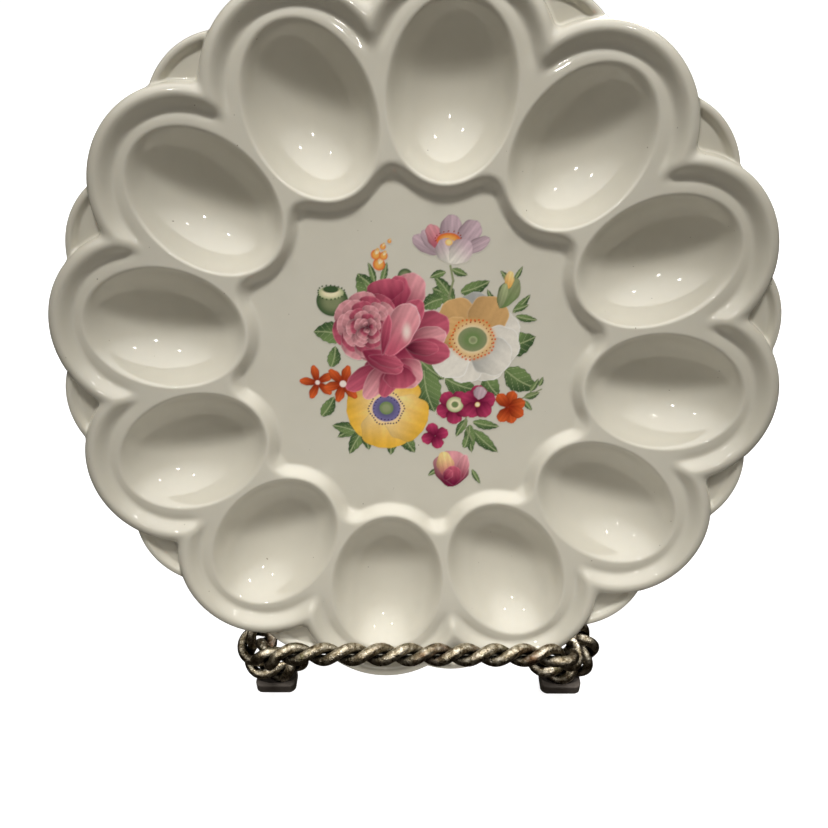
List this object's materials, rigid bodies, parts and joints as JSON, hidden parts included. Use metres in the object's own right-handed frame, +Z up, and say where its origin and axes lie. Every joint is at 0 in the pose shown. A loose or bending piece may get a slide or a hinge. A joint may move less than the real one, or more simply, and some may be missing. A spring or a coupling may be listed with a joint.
{
  "type": "egg tray on stand",
  "caption": "Round scalloped ceramic tray with oval egg wells around a flat floral centre, leaning on a folding easel of twisted wire.",
  "frame": {"origin": "on the floor, at the middle of the whole object in plan", "axes": "+Z up, -Y out of the tray's face, +X to the viewer's right"},
  "size_m": [0.2514, 0.1439, 0.2691],
  "materials": {
    "glaze": "glossy",
    "transfer_print": "glossy multicolour print",
    "aged_wire": "dark antique patina, worn bright on the high spots",
    "plain_rod": "dark antique patina",
    "grey_rubber": "matt"
  },
  "bodies": {
    "stand": {"back_frame_strand_a": "aged_wire", "back_frame_strand_b": "aged_wire", "front_lip_strand_a": "aged_wire", "front_lip_strand_b": "aged_wire", "scroll_collars": "aged_wire", "hinge_rod": "plain_rod", "stop_bar": "plain_rod", "foot_pads": "grey_rubber"},
    "leg": {"rear_leg_strand_a": "aged_wire", "rear_leg_strand_b": "aged_wire", "leg_barrel": "plain_rod", "stop_tab": "plain_rod", "leg_ferrules": "plain_rod", "leg_boot": "grey_rubber"},
    "tray": {"egg_tray": "glaze", "floral_transfer": "transfer_print"}
  },
  "joints": [
    {"name": "leg_fold", "type": "hinge", "parent": "stand", "child": "leg", "pos_m": [0, 0.00615, 0.16549], "axis": [-1, 0, 0], "range_deg": [0, 34]},
    {"name": "tray_lift", "type": "slide", "parent": "stand", "child": "tray", "axis": [0, 0.309, 0.9511], "range_m": [0, 0.24]}
  ]
}
